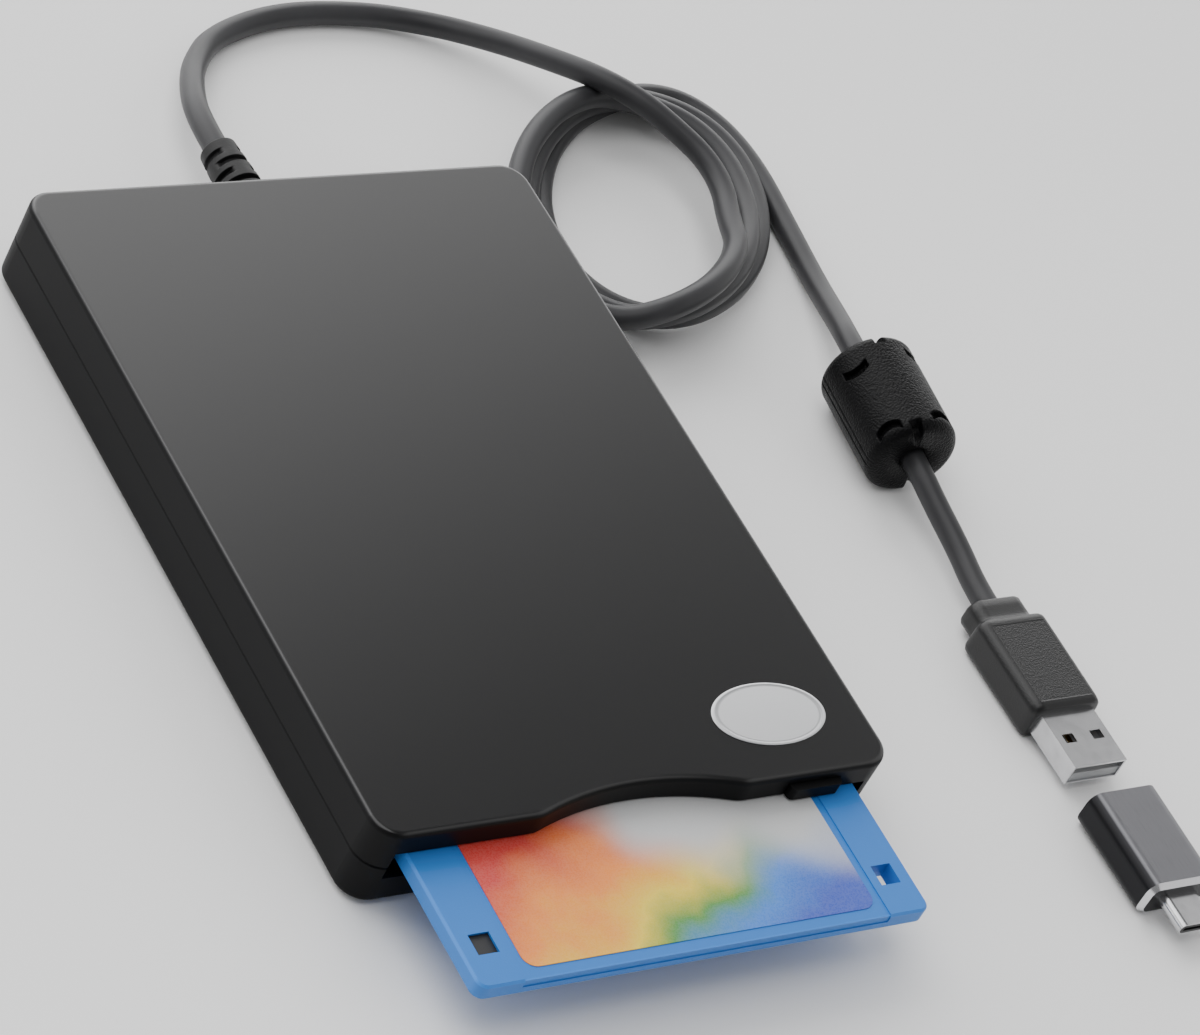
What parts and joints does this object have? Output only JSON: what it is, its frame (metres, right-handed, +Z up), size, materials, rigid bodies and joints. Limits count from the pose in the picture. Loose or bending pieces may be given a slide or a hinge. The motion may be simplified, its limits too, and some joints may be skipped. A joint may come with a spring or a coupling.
{
  "type": "external floppy disk drive",
  "caption": "Slim black external floppy drive with a blue 3.5 inch disk in its slot, an eject button, a coiled cord with a ferrite choke, a USB-A plug and a USB-C adapter.",
  "frame": {"origin": "centre of the case's underside; the feet stand 0.7 mm lower", "axes": "+Z up out of the top, +Y to the rear where the cord leaves, +X to the right facing the disk slot"},
  "size_m": [0.1719, 0.2335, 0.018],
  "materials": {
    "case_black": "gloss black with a satin side",
    "rubber_black": "matte",
    "cord_grey": "satin",
    "badge_silver": "satin",
    "steel": "zinc plated",
    "bright_steel": "bright nickel",
    "board_green": "solder mask",
    "chip_black": "matte",
    "copper": "enamelled wire",
    "gold": "gold plated",
    "disk_blue": "fine texture",
    "label_print": "printed, soft gradient",
    "media_brown": "coated film",
    "liner_white": "non-woven",
    "choke_black": "leather grain",
    "ferrite_grey": "sintered",
    "plastic_white": "matte",
    "adapter_black": "black anodised"
  },
  "bodies": {
    "case": {"lower_shell": "case_black", "upper_shell": "case_black", "rubber_feet": "rubber_black", "oval_badge": "badge_silver", "case_screws": "steel", "mechanism_screws": "steel", "strain_relief": "rubber_black", "chassis": "steel", "disk_holder": "steel", "motor_board": "board_green", "spindle_bearing": "gold", "spindle_stator": "steel", "stator_coils": "copper", "guide_rod": "bright_steel", "stepper_motor": "steel", "main_board": "board_green", "board_chips": "chip_black", "interface_board": "board_green", "cord_header": "plastic_white", "cord_lead": "cord_grey", "cord_coil": "cord_grey", "cord_tail": "cord_grey", "ferrite_case": "choke_black", "ferrite_core": "ferrite_grey", "plug_grip": "rubber_black", "plug_shell": "bright_steel", "plug_insulator": "plastic_white", "plug_contacts": "gold"},
    "ejector": {"eject_button": "case_black", "ejector_plate": "steel"},
    "spindle": {"rotor_cup": "bright_steel", "rotor_magnet": "ferrite_grey", "spindle_shaft": "bright_steel", "drive_pin": "bright_steel"},
    "carriage": {"head_carriage": "chip_black", "head_arm": "steel", "lower_head": "ferrite_grey", "upper_head": "ferrite_grey"},
    "lead_screw": {"lead_screw": "bright_steel"},
    "disk": {"disk_upper_shell": "disk_blue", "disk_lower_shell": "disk_blue", "disk_label": "label_print", "disk_liners": "liner_white"},
    "disk_shutter": {"disk_shutter": "bright_steel"},
    "write_tab": {"write_protect_tab": "chip_black"},
    "disk_core": {"disk_hub": "steel", "disk_media": "media_brown"},
    "adapter": {"adapter_housing": "adapter_black", "adapter_core": "chip_black", "adapter_usb_c_shell": "bright_steel", "adapter_usb_c_core": "chip_black"}
  },
  "joints": [
    {"name": "eject_slide", "type": "slide", "parent": "case", "child": "ejector", "axis": [0, -1, 0], "range_m": [0, 0.004]},
    {"name": "spindle_spin", "type": "hinge", "parent": "case", "child": "spindle", "pos_m": [0, -0.0207, 0.006], "axis": [0, 0, 1], "continuous": true},
    {"name": "carriage_slide", "type": "slide", "parent": "case", "child": "carriage", "axis": [0, -1, 0], "range_m": [0, 0.0152]},
    {"name": "lead_screw_turn", "type": "hinge", "parent": "case", "child": "lead_screw", "pos_m": [0.013, 0.016, 0.0051], "axis": [0, -1, 0], "range_deg": [0, 1830]},
    {"name": "disk_slide", "type": "slide", "parent": "case", "child": "disk", "axis": [0, 1, 0], "range_m": [-0.07, 0.0273]},
    {"name": "shutter_slide", "type": "slide", "parent": "disk", "child": "disk_shutter", "axis": [1, 0, 0], "range_m": [0, 0.017], "stiffness_N_per_m": 20, "springref_m": -0.005},
    {"name": "write_tab_slide", "type": "slide", "parent": "disk", "child": "write_tab", "axis": [0, 1, 0], "range_m": [0, 0.0044]},
    {"name": "disk_core_spin", "type": "hinge", "parent": "disk", "child": "disk_core", "pos_m": [0, -0.048, 0.01], "axis": [0, 0, 1], "continuous": true},
    {"name": "adapter_slide", "type": "slide", "parent": "case", "child": "adapter", "axis": [0, 1, 0], "range_m": [0, 0.0187]}
  ],
  "couplings": [
    {"joint": "lead_screw_turn", "follows": "carriage_slide", "rad_per_m": 2094.4}
  ]
}
